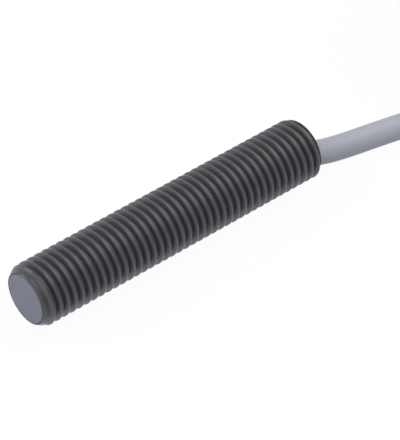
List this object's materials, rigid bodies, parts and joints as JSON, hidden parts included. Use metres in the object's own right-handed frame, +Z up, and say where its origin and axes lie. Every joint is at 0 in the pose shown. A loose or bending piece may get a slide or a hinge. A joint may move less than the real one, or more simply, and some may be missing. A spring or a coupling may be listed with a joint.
{
  "type": "inductive proximity sensor",
  "caption": "Cylindrical inductive proximity sensor: threaded dark plastic barrel, flat gray sensing face, potted electronics, and a light gray lead in a tied hank.",
  "frame": {"origin": "middle of the sensing face, on the barrel's axis", "axes": "+X along the barrel from the sensing face to the lead, +Z up; the barrel lies on its side on the plane z = -4 mm"},
  "size_m": [0.1465, 0.0303, 0.0207],
  "materials": {
    "barrel_plastic": "charcoal glass-filled plastic with cut threads, slightly lighter on the crests",
    "face_plastic": "flat mid-gray moulded plastic",
    "ferrite": "sintered dark gray ferrite",
    "bobbin_plastic": "natural moulded plastic",
    "copper": "bare or enamelled copper",
    "holder_plastic": "black moulded plastic",
    "board": "green lacquered glass-fibre board",
    "component_body": "black moulded component bodies",
    "capacitor_ceramic": "tan ceramic with tinned ends",
    "solder": "bright tin solder",
    "resin": "black cast resin",
    "sheath": "light gray soft plastic sheath with a satin sheen",
    "core_brown": "brown core insulation",
    "core_blue": "blue core insulation",
    "core_black": "black core insulation",
    "crimp_metal": "plain brass ring",
    "tie_plastic": "black plastic tie"
  },
  "bodies": {
    "root": {"barrel": "barrel_plastic", "face_cap": "face_plastic", "ferrite_core": "ferrite", "coil_bobbin": "bobbin_plastic", "coil_winding": "copper", "coil_lead_a": "copper", "coil_lead_b": "copper", "board_holder": "holder_plastic", "circuit_board": "board", "sensor_chip": "component_body", "output_transistor": "component_body", "suppressor_diode": "component_body", "polarity_diode": "component_body", "resistor_1": "component_body", "resistor_2": "component_body", "resistor_3": "component_body", "resistor_4": "component_body", "capacitor_1": "capacitor_ceramic", "capacitor_2": "capacitor_ceramic", "capacitor_3": "capacitor_ceramic", "solder_joints": "solder", "screen_sleeve": "copper", "potting_resin": "resin", "cable_stub": "sheath", "core_brown": "core_brown", "core_blue": "core_blue", "core_black": "core_black", "crimp_ring": "crimp_metal", "end_plug": "holder_plastic", "cable_run": "sheath", "cable_hank": "sheath", "cable_tail": "sheath", "hank_tie": "tie_plastic", "tail_brown": "core_brown", "tail_blue": "core_blue", "tail_black": "core_black", "tinned_tips": "solder"}
  },
  "joints": []
}
